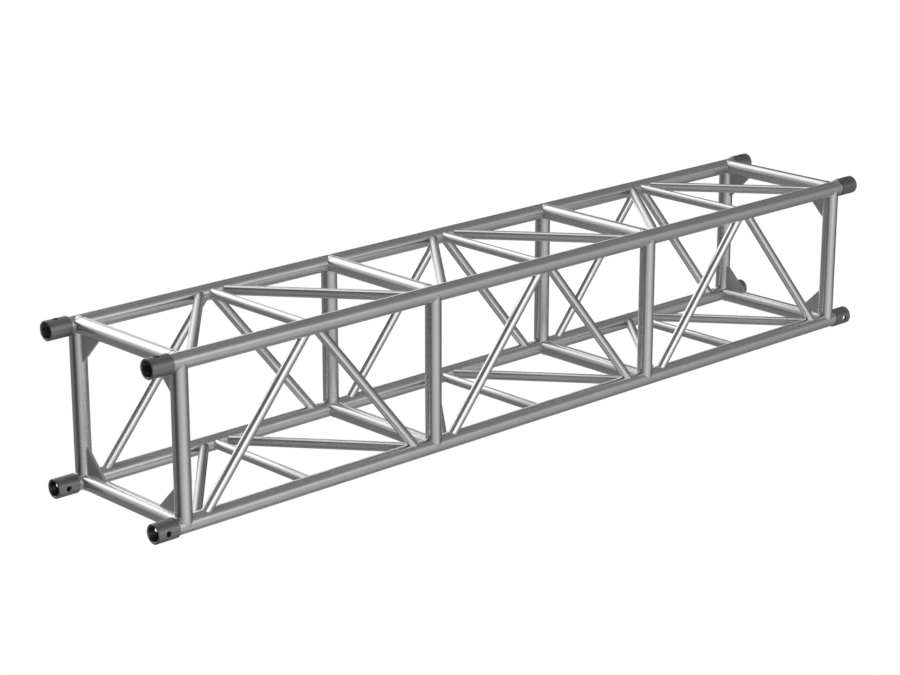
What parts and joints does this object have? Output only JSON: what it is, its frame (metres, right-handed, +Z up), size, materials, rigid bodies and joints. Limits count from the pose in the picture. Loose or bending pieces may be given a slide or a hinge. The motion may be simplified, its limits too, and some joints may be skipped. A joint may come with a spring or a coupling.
{
  "type": "lighting truss section",
  "caption": "Straight box truss section for stage rigging: round-tube chords with posts, crossbars and diagonal braces, corner gussets, and a socket coupler with a pin hole at each chord end.",
  "frame": {"origin": "under the middle of the section, at the level the bottom couplers rest on", "axes": "+X along the section from its left end to its right end, +Y from the front face to the back face, +Z up, along the pins of the top couplers"},
  "size_m": [3, 0.529, 0.529],
  "materials": {
    "tube": "satin mill finish",
    "light_tube": "satin mill finish",
    "coupler": "fine turned, dark",
    "gusset": "rolled plate"
  },
  "bodies": {
    "root": {"chord_bottom_front": "tube", "chord_bottom_back": "tube", "chord_top_front": "tube", "chord_top_back": "tube", "coupler_left_bottom_front": "coupler", "coupler_left_bottom_back": "coupler", "coupler_left_top_front": "coupler", "coupler_left_top_back": "coupler", "coupler_right_bottom_front": "coupler", "coupler_right_bottom_back": "coupler", "coupler_right_top_front": "coupler", "coupler_right_top_back": "coupler", "post_front_1": "tube", "post_front_2": "tube", "post_front_3": "tube", "post_front_4": "tube", "post_back_1": "tube", "post_back_2": "tube", "post_back_3": "tube", "post_back_4": "tube", "crossbar_bottom_1": "tube", "crossbar_bottom_2": "tube", "crossbar_bottom_3": "tube", "crossbar_bottom_4": "tube", "mid_crossbar_bottom_1": "light_tube", "mid_crossbar_bottom_2": "light_tube", "mid_crossbar_bottom_3": "light_tube", "crossbar_top_1": "tube", "crossbar_top_2": "tube", "crossbar_top_3": "tube", "crossbar_top_4": "tube", "mid_crossbar_top_1": "light_tube", "mid_crossbar_top_2": "light_tube", "mid_crossbar_top_3": "light_tube", "side_brace_front_1_left": "light_tube", "side_brace_front_1_right": "light_tube", "side_brace_front_2_left": "light_tube", "side_brace_front_2_right": "light_tube", "side_brace_front_3_left": "light_tube", "side_brace_front_3_right": "light_tube", "side_brace_back_1_left": "light_tube", "side_brace_back_1_right": "light_tube", "side_brace_back_2_left": "light_tube", "side_brace_back_2_right": "light_tube", "side_brace_back_3_left": "light_tube", "side_brace_back_3_right": "light_tube", "plan_brace_bottom_1_left": "light_tube", "plan_brace_bottom_1_right": "light_tube", "plan_brace_bottom_2_left": "light_tube", "plan_brace_bottom_2_right": "light_tube", "plan_brace_bottom_3_left": "light_tube", "plan_brace_bottom_3_right": "light_tube", "plan_brace_top_1_left": "light_tube", "plan_brace_top_1_right": "light_tube", "plan_brace_top_2_left": "light_tube", "plan_brace_top_2_right": "light_tube", "plan_brace_top_3_left": "light_tube", "plan_brace_top_3_right": "light_tube", "corner_gussets_left_end": "gusset", "corner_gussets_right_end": "gusset"}
  },
  "joints": []
}
